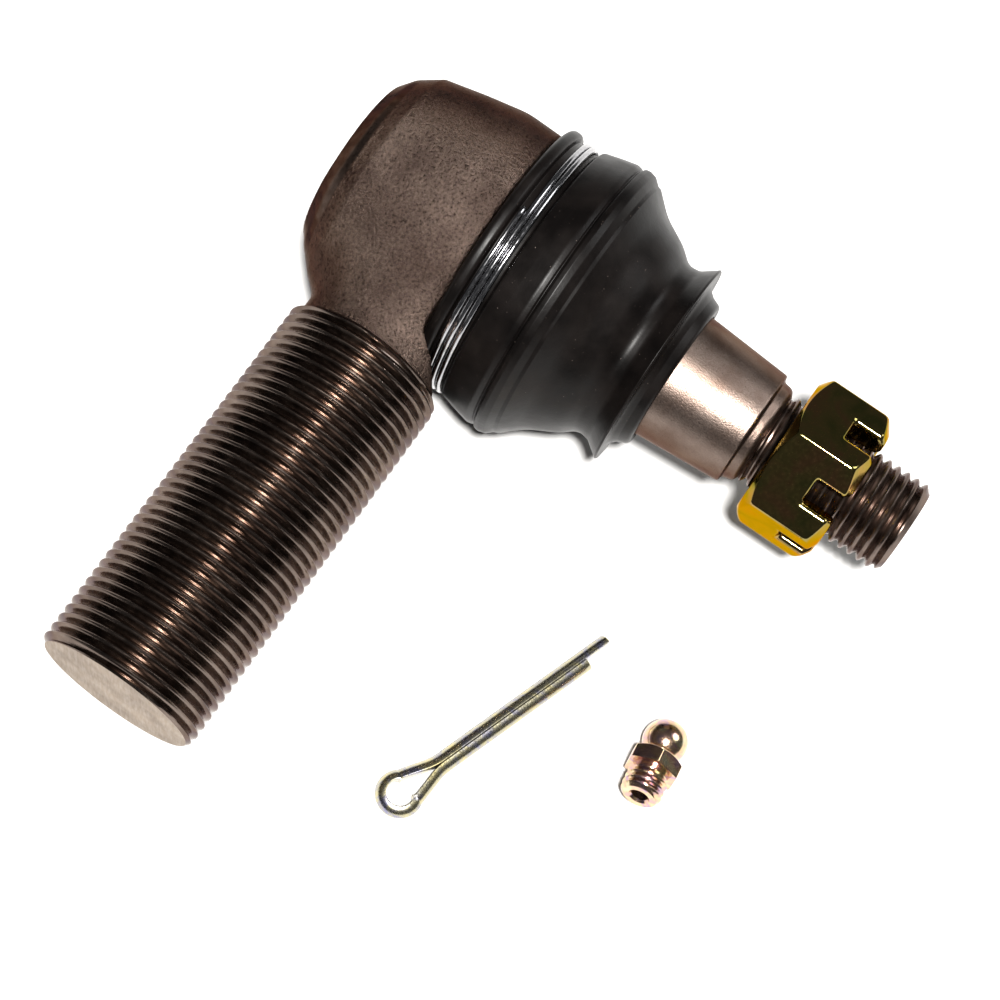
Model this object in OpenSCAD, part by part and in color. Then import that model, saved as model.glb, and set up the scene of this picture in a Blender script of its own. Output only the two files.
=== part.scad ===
// Tie rod end: a ball stud in a forged socket with a threaded shank, a rubber
// dust boot, a castle nut, and a loose cotter pin and grease fitting.
// The origin is the centre of the ball. +X runs along the shank to its threaded
// end, +Y runs along the stud to its threaded end, and +Z is up.

/* [Shank] */
// Outer diameter of the shank thread
shank_d = 24; // [20:0.5:26]
// Distance from the ball centre to the end of the shank
shank_end = 80.6; // [60:0.5:110]
// Distance from the ball centre to the start of the thread
thread_start = 24; // [23.5:0.5:30]
// Diameter of the neck between the socket and the thread
neck_d = 22; // [18:0.5:23]

/* [Socket] */
// Outer diameter of the socket at its front shoulder
socket_d = 37.8; // [36.5:0.1:40]
// Distance from the ball centre back to the rolled rim
socket_back = 17.9; // [17.9:0.1:20]
// Diameter of the machined nose that the boot sits on
nose_d = 34; // [32:0.1:34.6]
// Bore of the socket, where the bearings sit
bore_d = 25.8; // [25.4:0.1:26.4]
// Half angle through which the stud can tilt
tilt_max = 20; // [10:1:22]

/* [Stud] */
// Diameter of the ball
ball_d = 22.8; // [21:0.1:23]
// Diameter of the neck behind the ball
stud_neck_d = 14.4; // [12:0.1:15]
// Small diameter of the taper, at the step
taper_small_d = 17.3; // [16:0.1:19]
// Taper ratio on the diameter: one in this many
taper_ratio = 7; // [6:0.5:12]
// Distance from the ball centre to the step at the end of the taper
taper_end = 48.9; // [46:0.1:50]
// Outer diameter of the stud thread
stud_thread_d = 14; // [12:0.5:16]
// Distance from the ball centre to the tip of the stud
stud_end = 74; // [71:0.1:85]

/* [Nut] */
// Width of the castle nut across its flats
nut_af = 21; // [19:0.5:24]
// Height of the castle nut
nut_h = 12; // [10:0.5:16]
// Distance from the ball centre to the nut's seating face
nut_base = 53; // [51:0.1:56]
// Width of the nut's slots
slot_w = 3.7; // [3:0.1:4.5]
// Depth of the nut's slots
slot_depth = 5; // [4:0.1:6]
// Angle of a nut corner, from +Z towards +X
nut_turn = 7; // [0:1:59]

/* [Boot] */
// Largest diameter of the boot
boot_d = 43; // [42:0.2:44]
// Wall thickness of the boot
boot_wall = 1.9; // [1.2:0.1:2.2]
// Diameter of the wire of the retaining ring
ring_wire = 1; // [0.8:0.1:1.1]

/* [Loose pieces] */
// Wire thickness of both cotter legs together
cotter_d = 2.9; // [2.4:0.1:3.1]
// Length of the cotter's long leg from the middle of its eye
cotter_len = 36.6; // [28:1:45]
// Head diameter of the grease fitting
head_d = 6.5; // [6:0.1:6.7]

/* [Hidden] */
$fn = 96;

// Radial gap of a running fit
run_gap = 0.05;
// Axial gap between pieces that turn against each other
face_gap = 0.1;
// A little more than nothing, so that cutting tools overshoot
eps = 0.01;

// Socket, measured along +Y
front = 5;
nose_end = 11.4;
rim_round = 6.2;
rim_lip_r = 10.6;
rim_lip_t = 1.5;
cover_r = 13.2;
cover_t = 2.2;
cover_back = -socket_back + rim_lip_t;
cover_front = cover_back + cover_t;
gasket_t = 0.5;
gasket_hole_r = 11;
bore_r = bore_d / 2;
bore_back = cover_front + gasket_t;
bore_front = 5;
// Side of the socket, drafted from the rolled rim to the shoulder
draft_back = -12.8;
draft_r = 16.45;
draft_bulge = 0.25;
// Mouth, wide enough for the stud's neck at its full tilt
mouth_clear = 1.1;
mouth_edge = 0.6;
function tilted_neck(y) = stud_neck_d / 2 / cos(tilt_max) + y * tan(tilt_max) + mouth_clear;
mouth_r = tilted_neck(bore_front + mouth_edge);
mouth_out_r = tilted_neck(nose_end);

// Ball, bearings and spring
ball_r = ball_d / 2;
ball_flat = -10.2;
seat_back = -12;
seat_hole_r = 4.2;
bearing_split = 0.3;
spring_t = 0.8;

// Stud
taper_slope = 1 / taper_ratio / 2;
taper_start = 30.6;
function taper_r(y) = taper_small_d / 2 + (taper_end - y) * taper_slope;
step_chamfer = 0.6;
stud_thread_r = stud_thread_d / 2;
step_shoulder_r = stud_thread_r + 0.6;
shoulder_end = taper_end + 1.8;
relief_r = stud_thread_r - 0.2;
thread_chamfer = 0.9;
// Neck, from the ball's top to the start of the taper
neck_waist = 17;
neck_swell = 20;
cotter_hole_d = 3.6;
cotter_hole_y = nut_base + nut_h - slot_depth / 2;
cotter_hole_turn = nut_turn + 90;

// Boot, measured along +Y
bead_r = 20.5;
bead_start = 5.3;
bead_end = 7.2;
groove_r = 19.2;
groove_end = 11;
ring_turns = 3;
ring_r = groove_r + run_gap + ring_wire / 2;
ring_start = bead_end + 0.35 + ring_wire / 2;
boot_r = boot_d / 2;
widest = 17;
shoulder_r = 20.2;
// Step in below the widest part, and how hollow the cone above it is
crease = 1.3;
cone_start = widest + 2.8;
cone_hollow = 1.12;
boot_neck_r = 13.7;
boot_neck_y = 29.3;
lip_r = 15.6;
lip_y = 33;
collar_r = 12;
collar_end_r = 11.4;
boot_end = 35.9;
support_start = 31;
support_end = 34.4;
support_r = 11;

// The surface that the part and the loose pieces lie on
floor_z = -boot_r;

// Cotter pin
cotter_eye = [65.9, 37];
cotter_angle = 160.9;
cotter_leg_r = cotter_d / 2;
eye_r = 1.95;
eye_neck = 6.2;
short_leg = 32.4;

// Grease fitting
head_r = head_d / 2;
fitting_pos = [38.9, 63.2, floor_z + head_r];
fitting_angle = 6.9;
fitting_tilt = 14.5;
fitting_hex_af = 7;
hex_start = 2.9;
hex_end = 5.4;
fitting_end = 9.6;
fitting_thread_r = 3;
fitting_bore_r = 1.25;
check_seat_r = 0.75;
check_ball_r = 1;
check_ball_at = -head_r + 1.4;
fitting_spring_r = 0.95;

// Places children, drawn about +Z, about the stud's axis +Y
module along_stud() {
    rotate([-90, 0, 0]) children();
}

// Places children, drawn about +Z, about the shank's axis +X
module along_shank() {
    rotate([0, 90, 0]) children();
}

// Points of an arc about [cr, cy], from angle a to angle b in n steps
function arc(cr, cy, r, a, b, n) =
    [for (i = [0 : n]) let (t = a + (b - a) * i / n) [cr + r * cos(t), cy + r * sin(t)]];

// Outer half section of the socket: rolled rim, drafted side, shoulder, nose
function socket_outline() = concat(
    [[0, -socket_back], [rim_lip_r, -socket_back]],
    arc(rim_lip_r, -socket_back + rim_round, rim_round - 0.1, -80, -12, 10),
    [for (i = [1 : 8]) let (t = i / 8)
        [draft_r + (socket_d / 2 - draft_r) * (t + draft_bulge * t * (1 - t)),
            draft_back + (front - 0.6 - draft_back) * t]],
    [[socket_d / 2 - 0.5, front], [nose_d / 2, front], [nose_d / 2, nose_end - 0.5],
        [nose_d / 2 - 0.5, nose_end], [0, nose_end]]);

// Cavity of the socket: cover pocket, bearing bore, mouth that flares for the stud
function cavity_outline() = [
    [0, -socket_back - eps], [rim_lip_r, -socket_back - eps], [rim_lip_r, cover_back],
    [cover_r, cover_back], [cover_r, bore_back], [bore_r, bore_back],
    [bore_r, bore_front], [mouth_r, bore_front], [mouth_r, bore_front + mouth_edge],
    [mouth_out_r, nose_end + eps], [0, nose_end + eps]];

module neck_and_shank() {
    shank_r = shank_d / 2;
    neck_r = neck_d / 2;
    neck_inside = 12;
    fillet = 3.2;
    fillet_x = 19.6;
    flare = arc(fillet_x, neck_r + fillet, fillet, -150, -90, 6);
    along_shank() rotate_extrude() polygon(concat(
        [[0, neck_inside], [neck_r + fillet / 2, neck_inside]],
        [for (p = flare) [p[1], p[0]]],
        [[neck_r, thread_start - 1.2], [shank_r, thread_start],
            [shank_r, shank_end - 0.7], [shank_r - 0.7, shank_end], [0, shank_end]]));
}

// Room for the tool that fits the boot's ring, turned into the side of the neck
module ring_relief() {
    neck_top = 14;
    along_stud() rotate_extrude() polygon([
        [nose_d / 2, front + 0.1], [bead_r + 0.7, front + 0.1], [bead_r + 0.9, 8.3],
        [thread_start, shank_d / 2 + 0.5], [thread_start, neck_top], [0, neck_top],
        [0, nose_end], [nose_d / 2, nose_end]]);
}

module socket_housing() {
    color("#5a463c") difference() {
        union() {
            along_stud() rotate_extrude() polygon(socket_outline());
            difference() {
                neck_and_shank();
                ring_relief();
            }
        }
        along_stud() rotate_extrude() polygon(cavity_outline());
    }
}

// Grease port's boss stands out of the middle of the cover
module end_cover() {
    port_r = 2.5;
    boss_r = 5.5;
    boss_back = -socket_back + 0.5;
    color("#4c4540") along_stud() rotate_extrude() polygon([
        [port_r, boss_back], [boss_r - 0.5, boss_back], [boss_r, boss_back + 0.5],
        [boss_r, cover_back], [cover_r - run_gap, cover_back],
        [cover_r - run_gap, cover_front], [port_r, cover_front]]);
}

module cover_gasket() {
    color("#2a2a2a") translate([0, cover_front, 0]) along_stud() difference() {
        cylinder(h = gasket_t, r = cover_r - run_gap);
        translate([0, 0, -eps]) cylinder(h = gasket_t + 2 * eps, r = gasket_hole_r);
    }
}

// Dished spring washer between the cover and the lower bearing
module preload_spring() {
    dish = seat_back - face_gap - cover_front - spring_t;
    color("#77736b") along_stud() rotate_extrude() polygon([
        [10.5, cover_front], [10.7, cover_front + spring_t],
        [5.3, cover_front + dish + spring_t], [5.1, cover_front + dish]]);
}

// Ring of bearing between two planes, with the ball's spherical hollow
module bearing(from, to, hole_r) {
    difference() {
        along_stud() translate([0, 0, from]) cylinder(h = to - from, r = bore_r - run_gap);
        sphere(r = ball_r + run_gap);
        along_stud() translate([0, 0, from - eps]) cylinder(h = to - from + 2 * eps, r = hole_r);
    }
}

module lower_bearing() {
    color("#b9ad90") bearing(seat_back, -bearing_split, seat_hole_r);
}

module upper_bearing() {
    color("#b9ad90") bearing(bearing_split, bore_front, mouth_r - 0.4);
}

module ball_stud() {
    neck_r = stud_neck_d / 2;
    ball_top = asin(neck_r / ball_r);
    ball_bottom = asin(-ball_flat / ball_r);
    small_r = taper_small_d / 2;
    color("#8a7f74") difference() {
        along_stud() rotate_extrude() polygon(concat(
            [[0, ball_flat]],
            arc(0, 0, ball_r, -ball_bottom, 90 - ball_top, 40),
            [[neck_r, neck_waist], [neck_r + 0.5, neck_swell],
                [taper_r(taper_start) - 0.3, taper_start - 1],
                [taper_r(taper_start), taper_start],
                [taper_r(taper_end - step_chamfer), taper_end - step_chamfer],
                [small_r - step_chamfer, taper_end], [step_shoulder_r, taper_end + 0.2],
                [step_shoulder_r, shoulder_end - 0.4], [relief_r, shoulder_end],
                [relief_r, shoulder_end + 0.5], [stud_thread_r, shoulder_end + 0.7],
                [stud_thread_r, stud_end - thread_chamfer],
                [stud_thread_r - thread_chamfer, stud_end], [0, stud_end]]));
        translate([0, cotter_hole_y, 0]) rotate([0, cotter_hole_turn, 0])
            translate([0, 0, -stud_thread_d]) cylinder(h = 2 * stud_thread_d, d = cotter_hole_d);
    }
}

// Closed rubber shell from the bead on the nose to the lip on the stud's taper
module dust_boot() {
    nose_r = nose_d / 2 + run_gap;
    lip_gap = 0.1;
    color("#161514") along_stud() rotate_extrude() polygon(concat(
        [[nose_r, bead_start], [bead_r - 1, bead_start]],
        arc(bead_r - 0.95, bead_start + 0.95, 0.95, -90, 90, 8),
        [[groove_r, bead_end + 0.1], [groove_r, groove_end - 0.4], [groove_r + 0.6, groove_end]],
        [for (i = [0 : 5]) let (t = i / 5)
            [shoulder_r + (boot_r - shoulder_r) * sin(90 * t),
                groove_end + 0.2 + (widest - groove_end - 0.2) * t]],
        [[boot_r - 0.15, widest + 1.4], [boot_r - 0.9, widest + 2.3]],
        [for (i = [1 : 8]) let (t = i / 8)
            [boot_neck_r + (boot_r - crease - boot_neck_r) * pow(1 - t, cone_hollow),
                cone_start + (boot_neck_y - cone_start) * t]],
        [[boot_neck_r + 0.1, boot_neck_y + 1], [lip_r - 0.9, lip_y - 0.9], [lip_r, lip_y - 0.1],
            [lip_r - 0.1, lip_y + 0.2], [collar_r + 0.6, lip_y + 0.6],
            [collar_r, lip_y + 1.2], [collar_end_r, boot_end - 0.6], [collar_end_r - 0.6, boot_end],
            [taper_r(boot_end) + lip_gap, boot_end],
            [taper_r(support_end) + lip_gap, support_end + run_gap],
            [support_r + run_gap, support_end + run_gap],
            [support_r + run_gap, support_start - run_gap],
            [taper_r(taper_start) + 0.5, support_start - run_gap],
            [taper_r(taper_start) + 0.5, support_start - 1.4],
            [boot_neck_r - boot_wall, boot_neck_y - 0.8],
            [boot_r - crease - boot_wall, widest + 2], [boot_r - boot_wall, widest],
            [nose_r + 1.6, nose_end + 0.7], [nose_r, nose_end + 0.3]]));
}

// Close turns of wire in the groove of the boot
module boot_ring() {
    color("#c9ccd0") for (i = [0 : ring_turns - 1])
        along_stud() translate([0, 0, ring_start + i * ring_wire])
            rotate_extrude() translate([ring_r, 0]) circle(d = ring_wire, $fn = 24);
}

// Ring moulded in the neck of the boot, free to turn on the taper
module boot_support_ring() {
    color("#3a3a3a") along_stud() rotate_extrude() polygon([
        [taper_r(support_start) + run_gap, support_start], [support_r, support_start],
        [support_r, support_end], [taper_r(support_end) + run_gap, support_end]]);
}

module castle_nut() {
    corner_r = nut_af / 2 / cos(30);
    color("#77713a") translate([0, nut_base, 0]) rotate([0, nut_turn, 0]) along_stud()
        difference() {
            intersection() {
                rotate([0, 0, 90]) cylinder(h = nut_h, r = corner_r, $fn = 6);
                rotate_extrude() polygon([
                    [0, 0], [nut_af / 2 - 0.3, 0], [corner_r + 0.1, 1.5],
                    [corner_r + 0.1, nut_h - 1.3], [nut_af / 2 - 0.1, nut_h], [0, nut_h]]);
            }
            translate([0, 0, -eps]) cylinder(h = nut_h + 2 * eps, r = stud_thread_r + run_gap);
            for (a = [0 : 60 : 120])
                rotate([0, 0, a]) translate([-nut_af, -slot_w / 2, nut_h - slot_depth])
                    cube([2 * nut_af, slot_w, slot_depth + eps]);
        }
}

// One leg is a half-round bar, on the side given by 1 or -1
module cotter_leg(length, side, gap) {
    translate([eye_neck, side * gap, 0]) rotate([0, 90, 0]) intersection() {
        cylinder(h = length - eye_neck, r = cotter_leg_r, $fn = 48);
        translate([-cotter_d, side > 0 ? 0 : -cotter_d, 0]) cube([2 * cotter_d, cotter_d, length]);
    }
}

// Split pin lying on the surface: half-round wire bent to an open eye, legs shut
module cotter_pin() {
    bend = 1.45;
    gap = 0.04;
    translate([cotter_eye[0], cotter_eye[1], floor_z + cotter_leg_r])
        rotate([0, 0, cotter_angle]) color("#c2bd9a") {
            cotter_leg(cotter_len, 1, gap);
            cotter_leg(short_leg, -1, gap);
            rotate([0, 0, 55]) rotate_extrude(angle = 250) translate([eye_r, 0])
                intersection() {
                    circle(r = bend, $fn = 32);
                    translate([0, -bend]) square([bend, 2 * bend]);
                }
            for (side = [1, -1]) hull() {
                rotate([0, 0, side * 55]) translate([eye_r, 0, 0]) rotate([90, 0, 0])
                    linear_extrude(0.02, center = true) intersection() {
                        circle(r = bend, $fn = 32);
                        translate([0, -bend]) square([bend, 2 * bend]);
                    }
                translate([eye_neck, side * gap, 0]) rotate([0, 90, 0])
                    linear_extrude(0.02) intersection() {
                        circle(r = cotter_leg_r, $fn = 32);
                        translate([-cotter_d, side > 0 ? 0 : -cotter_d]) square([2 * cotter_d, cotter_d]);
                    }
            }
        }
}

// Places children, drawn about +X from the middle of the head, as the fitting lies
module as_fitting_lies() {
    translate(fitting_pos) rotate([0, 0, fitting_angle]) rotate([0, -fitting_tilt, 0]) children();
}

module grease_fitting() {
    color("#b08a50") as_fitting_lies() rotate([0, 90, 0]) difference() {
        union() {
            rotate_extrude() polygon(concat(
                [[0, -head_r + 0.35], [1.2, -head_r + 0.35]],
                arc(0, 0, head_r, -66, 42, 14),
                [[2, hex_start - 0.3], [2, hex_start + eps], [0, hex_start + eps]]));
            intersection() {
                translate([0, 0, hex_start])
                    cylinder(h = hex_end - hex_start, r = fitting_hex_af / 2 / cos(30), $fn = 6);
                translate([0, 0, hex_start]) rotate_extrude() polygon([
                    [0, 0], [3.5, 0], [4.1, 0.45], [4.1, hex_end - hex_start], [0, hex_end - hex_start]]);
            }
            translate([0, 0, hex_end - eps]) cylinder(h = 0.6, r = fitting_thread_r - 0.4);
            translate([0, 0, hex_end + 0.5])
                cylinder(h = fitting_end - hex_end - 0.9, r = fitting_thread_r);
            translate([0, 0, fitting_end - 0.4 - eps])
                cylinder(h = 0.4 + eps, r1 = fitting_thread_r, r2 = fitting_thread_r - 0.4);
        }
        translate([0, 0, check_ball_at]) cylinder(h = fitting_end, r = fitting_bore_r);
        translate([0, 0, -head_r - eps]) cylinder(h = 2, r = check_seat_r);
    }
}

module fitting_check_ball() {
    color("#c8c8c8") as_fitting_lies() translate([check_ball_at + check_ball_r * 0.75, 0, 0])
        sphere(r = check_ball_r, $fn = 48);
}

// Light helical spring behind the check ball, drawn as its close turns
module fitting_spring() {
    turns = 5;
    wire = 0.3;
    start = check_ball_at + check_ball_r * 1.75 + 0.35;
    color("#b8b8b8") as_fitting_lies() rotate([0, 90, 0]) for (i = [0 : turns - 1])
        translate([0, 0, start + i * 1.1]) rotate_extrude()
            translate([fitting_spring_r, 0]) circle(d = wire, $fn = 16);
}

socket_housing();
end_cover();
cover_gasket();
preload_spring();
lower_bearing();
upper_bearing();
ball_stud();
dust_boot();
boot_ring();
boot_support_ring();
castle_nut();
cotter_pin();
grease_fitting();
fitting_check_ball();
fitting_spring();
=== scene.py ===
"""Looks of the tie rod end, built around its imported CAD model. Sizes here are in millimetres."""

import math

import bmesh
import bpy
import numpy as np
from mathutils import Matrix, Vector


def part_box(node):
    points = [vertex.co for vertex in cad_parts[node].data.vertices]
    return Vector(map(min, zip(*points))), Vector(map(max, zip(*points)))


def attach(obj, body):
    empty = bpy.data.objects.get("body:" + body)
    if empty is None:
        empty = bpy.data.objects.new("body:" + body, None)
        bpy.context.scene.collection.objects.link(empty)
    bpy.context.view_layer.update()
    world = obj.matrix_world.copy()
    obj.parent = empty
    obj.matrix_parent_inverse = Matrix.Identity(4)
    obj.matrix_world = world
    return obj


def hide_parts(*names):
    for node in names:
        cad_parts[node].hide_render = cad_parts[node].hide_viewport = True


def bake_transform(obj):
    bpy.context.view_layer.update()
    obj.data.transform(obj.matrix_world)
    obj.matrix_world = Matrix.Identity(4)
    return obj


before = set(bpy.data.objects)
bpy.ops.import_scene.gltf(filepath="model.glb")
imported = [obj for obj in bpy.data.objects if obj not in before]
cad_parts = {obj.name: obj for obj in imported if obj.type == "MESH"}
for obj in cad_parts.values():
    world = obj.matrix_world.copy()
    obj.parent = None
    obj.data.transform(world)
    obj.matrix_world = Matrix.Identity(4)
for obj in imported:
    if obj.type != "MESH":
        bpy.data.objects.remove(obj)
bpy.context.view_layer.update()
MM = 0.001


def node_mm(name, corner, axis):
    """One coordinate of a CAD node's box, in millimetres: corner 0 is the lowest, 1 the highest."""
    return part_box(name)[corner]["xyz".index(axis)] / MM


# Forging, about the origin, which is the centre of the ball
SHANK_R = 12.0
SHANK_END = node_mm("socket_housing", 1, "x")
SHANK_PITCH = 1.5
SHANK_THREAD_DEPTH = 0.85
THREAD_START = 23.4
NECK_R = 10.9
NECK_END = 26
SOCKET_R = 18.9
SOCKET_BACK = node_mm("socket_housing", 0, "y")
SHOULDER = 5.0
NOSE_R = 17.0
NOSE_END = 11.4
RIM_LIP_R = 10.6
RIM_LIP_T = 1.5
DRAFT_BACK = -12.6
DRAFT_R = 16.5
FORGE_BLEND = 4.2
COVER_R = 13.15
COVER_FRONT = SOCKET_BACK + RIM_LIP_T + 2.2
GASKET_T = 0.5
BORE_R = 12.9
BORE_FRONT = 5.0
MOUTH_R = 10.8
MOUTH_OUT_R = 12.9

# Stud, along +Y
BALL_R = 11.4
BALL_FLAT = -10.2
STUD_NECK_R = 7.2
TAPER_START = 30.6
TAPER_END = 48.9
TAPER_SMALL_R = 8.65
TAPER_SLOPE = 1 / 14
STUD_END = node_mm("ball_stud", 1, "y")
STUD_R = 7.0
STUD_PITCH = 1.5
STUD_THREAD_DEPTH = 0.82
COTTER_HOLE_R = 1.8

# Nut
NUT_BASE = node_mm("castle_nut", 0, "y")
NUT_END = node_mm("castle_nut", 1, "y")
NUT_FLAT_R = 10.5
NUT_TURN = 7.0
SLOT_W = 3.7
SLOT_DEPTH = 5.0
COTTER_HOLE_Y = NUT_END - SLOT_DEPTH / 2

# Boot
BOOT_R = node_mm("dust_boot", 1, "z")
BEAD_R = 20.5
BEAD_START = node_mm("dust_boot", 0, "y")
GROOVE_R = 19.2
GROOVE_START = 7.1
GROOVE_END = 10.9
BOOT_NECK_R = 13.7
BOOT_NECK_Y = 29.3
LIP_R = 15.6
LIP_Y = 33.0
COLLAR_R = 11.9
COLLAR_END_R = 11.3
SUPPORT_START = node_mm("boot_support_ring", 0, "y")
SUPPORT_END = node_mm("boot_support_ring", 1, "y")
SUPPORT_R = node_mm("boot_support_ring", 1, "z")
BOOT_END = node_mm("dust_boot", 1, "y")

# Loose pieces, which lie on the floor
FLOOR_Z = node_mm("dust_boot", 0, "z")
COTTER_EYE = (65.9, 37.0)
COTTER_ANGLE = math.radians(160.9)
COTTER_WIRE_R = 1.45
EYE_R = 1.95
EYE_NECK = 6.4
LONG_LEG = 36.6
SHORT_LEG = 32.4
HEAD_R = 3.25
FITTING_POS = (38.9, 63.2, FLOOR_Z + HEAD_R)
FITTING_TURN = math.radians(6.9)
FITTING_TILT = math.radians(14.5)
FITTING_THREAD_R = 3.0
FITTING_PITCH = 1.0
HEX_FLAT_R = 3.5
HEX_START = 2.9
HEX_END = 5.4
FITTING_END = 9.6


# Stage
FLOOR_HALF = 900
FLOOR_GAP = 0.02
CAMERA_AT = Vector((147.7, 53.9, 369.4))
CAMERA_RIGHT = Vector((-0.5518, 0.8253, 0.1199))
CAMERA_UP = Vector((-0.7762, -0.5609, 0.288))
LENS, SENSOR = 103.69, 36.0
SHIFT = (-0.0124, 0.0092)
LIGHT_AIM = (35, 25, 0)
KEY_AT, KEY_SIZE, KEY_WATTS = (265, 123, 920), 95, 26
KEY_COLOUR = (1, 0.98, 0.95)
FILL_AT, FILL_SIZE, FILL_WATTS = (-675, 575, 760), 600, 5
SKY_COLOUR, SKY_STRENGTH = (0.95, 0.97, 1, 1), 0.07


# ---------------------------------------------------------------- mesh tools


def arc(centre, radius, start, end, steps):
    """Points of an arc in a plane, angles in degrees."""
    angles = [math.radians(start + (end - start) * i / steps) for i in range(steps + 1)]
    return [(centre[0] + radius * math.cos(a), centre[1] + radius * math.sin(a)) for a in angles]


def rounded(points, steps=5):
    """Closed outline whose corners are turned into arcs. A point is (u, v) or (u, v, corner radius)."""
    out = []
    for i, point in enumerate(points):
        here = np.array(point[:2], float)
        radius = point[2] if len(point) > 2 else 0
        if radius == 0:
            out.append(tuple(here))
            continue
        back = np.array(points[i - 1][:2], float) - here
        on = np.array(points[(i + 1) % len(points)][:2], float) - here
        len_back, len_on = np.linalg.norm(back), np.linalg.norm(on)
        back, on = back / len_back, on / len_on
        half = math.acos(max(-1, min(1, float(back @ on)))) / 2
        cut = min(radius / math.tan(half), 0.48 * len_back, 0.48 * len_on)
        radius = cut * math.tan(half)
        middle = (back + on) / np.linalg.norm(back + on)
        centre = here + middle * radius / math.sin(half)
        first = math.atan2(*(here + back * cut - centre)[::-1])
        last = math.atan2(*(here + on * cut - centre)[::-1])
        sweep = (last - first + math.pi) % (2 * math.pi) - math.pi
        for k in range(steps + 1):
            a = first + sweep * k / steps
            out.append((centre[0] + radius * math.cos(a), centre[1] + radius * math.sin(a)))
    return out


def solid(name, verts, faces, sharp=35):
    """Closed mesh object from points in millimetres. Edges steeper than sharp degrees stay crisp."""
    mesh = bpy.data.meshes.new(name)
    mesh.from_pydata([tuple(v) for v in np.asarray(verts, float) * MM], [], faces)
    work = bmesh.new()
    work.from_mesh(mesh)
    bmesh.ops.remove_doubles(work, verts=work.verts, dist=0.002 * MM)
    bmesh.ops.recalc_face_normals(work, faces=work.faces)
    work.to_mesh(mesh)
    work.free()
    obj = bpy.data.objects.new(name, mesh)
    bpy.context.scene.collection.objects.link(obj)
    smooth(obj, sharp)
    return obj


def smooth(obj, sharp=35):
    """Smooth shading, with edges steeper than sharp degrees left crisp."""
    mesh = obj.data
    mesh.polygons.foreach_set("use_smooth", [True] * len(mesh.polygons))
    mesh.set_sharp_from_angle(angle=math.radians(sharp))


def combine(obj, tool, operation):
    """Joins, cuts or meets obj with tool, exactly, and removes tool."""
    modifier = obj.modifiers.new("combine", "BOOLEAN")
    modifier.operation = operation
    modifier.object = tool
    modifier.solver = "MANIFOLD"
    graph = bpy.context.evaluated_depsgraph_get()
    mesh = bpy.data.meshes.new_from_object(obj.evaluated_get(graph))
    obj.modifiers.clear()
    obj.data = mesh
    bpy.data.objects.remove(tool)
    smooth(obj)
    return obj


def turned(name, outline, steps=192, sharp=35):
    """Closed outline of (radius, y) turned about the Y axis."""
    verts, faces, count = [], [], len(outline)
    for i in range(steps):
        a = 2 * math.pi * i / steps
        verts += [(r * math.sin(a), y, r * math.cos(a)) for r, y in outline]
    for i in range(steps):
        for k in range(count):
            k2, i2 = (k + 1) % count, (i + 1) % steps
            faces.append((i * count + k, i * count + k2, i2 * count + k2, i2 * count + k))
    return solid(name, verts, faces, sharp)


def thread(name, radius, pitch, depth, start, end, chamfer, run_out=0.0, steps=96, per_pitch=10):
    """Screw thread along +X with a rounded crest, a narrow root, chamfered ends and real lead."""
    crest, root, roundness, start_slope = 0.06, 0.12, 1.5, 1.2
    end_r = radius - max(chamfer, depth * 0.5)
    rows = int((end - start) / pitch * per_pitch) + 2 * per_pitch
    verts = []
    for i in range(rows + 1):
        phase = (i % per_pitch) / per_pitch
        away = min(phase, 1 - phase) * 2
        down = min(1, max(0, (away - crest) / (1 - crest - root))) ** roundness
        for j in range(steps + 1):
            a = 2 * math.pi * j / steps
            x = start + (i / per_pitch + j / steps - 1) * pitch
            if x <= start:
                verts.append((start, end_r * math.cos(a), end_r * math.sin(a)))
                continue
            if x >= end:
                verts.append((end, end_r * math.cos(a), end_r * math.sin(a)))
                continue
            fade = min(1, (x - start) / run_out) if run_out else 1
            r = radius - depth * down * fade
            r = min(r, end_r + (end - x), end_r + (x - start) * start_slope)
            verts.append((x, r * math.cos(a), r * math.sin(a)))
    faces = []
    for i in range(rows):
        for j in range(steps):
            k = i * (steps + 1) + j
            faces.append((k, k + 1, k + steps + 2, k + steps + 1))
    first, last = len(verts), len(verts) + 1
    verts += [(start, 0, 0), (end, 0, 0)]
    for j in range(steps):
        top = rows * (steps + 1) + j
        faces.append((first, j + 1, j))
        faces.append((last, top, top + 1))
    return solid(name, verts, faces, sharp=28)


def ring_faces(rings, around):
    """Faces of a closed bar made of rings of points, with flat ends."""
    faces = [(i * around + j, i * around + (j + 1) % around,
              (i + 1) * around + (j + 1) % around, (i + 1) * around + j)
             for i in range(rings - 1) for j in range(around)]
    return faces + [tuple(range(around))[::-1], tuple(range((rings - 1) * around, rings * around))]


def turn_to_y(obj):
    """Stands an object drawn along +X along +Y."""
    obj.data.transform(Matrix.Rotation(math.radians(90), 4, "Z"))
    return obj


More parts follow.
